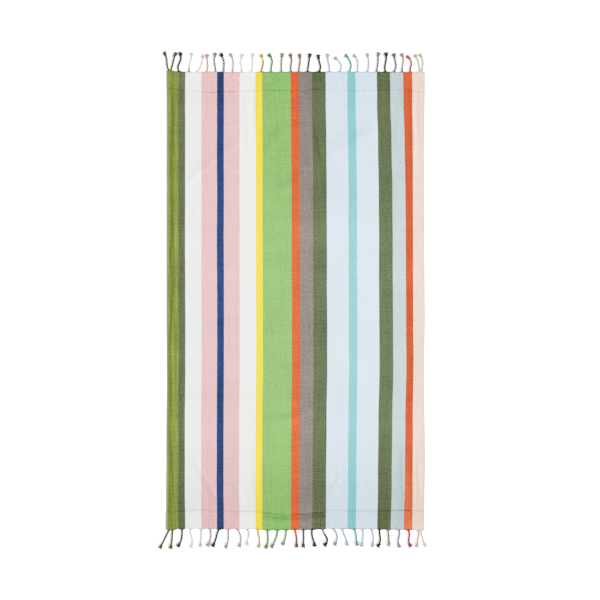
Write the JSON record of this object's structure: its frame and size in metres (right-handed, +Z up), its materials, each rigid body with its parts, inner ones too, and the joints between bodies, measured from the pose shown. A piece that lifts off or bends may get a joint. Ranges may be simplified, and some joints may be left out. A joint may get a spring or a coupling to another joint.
{
  "type": "beach towel",
  "caption": "Flat-woven striped cotton beach towel lying flat, with a twisted and knotted fringe along both short ends",
  "frame": {"origin": "middle of the cloth's underside, on the surface that the towel lies on", "axes": "+Z up from the surface; +Y along the stripes, to the end with 30 strands; +X across the stripes, from the olive selvedge to the peach one"},
  "size_m": [1.0406, 1.9363, 0.0106],
  "materials": {
    "striped_cotton": "matte flat-woven cotton with lengthwise stripes",
    "fringe_yarn": "matte twisted cotton yarn"
  },
  "bodies": {
    "root": {"cloth": "striped_cotton", "fringe_top": "fringe_yarn", "fringe_bottom": "fringe_yarn"}
  },
  "joints": []
}
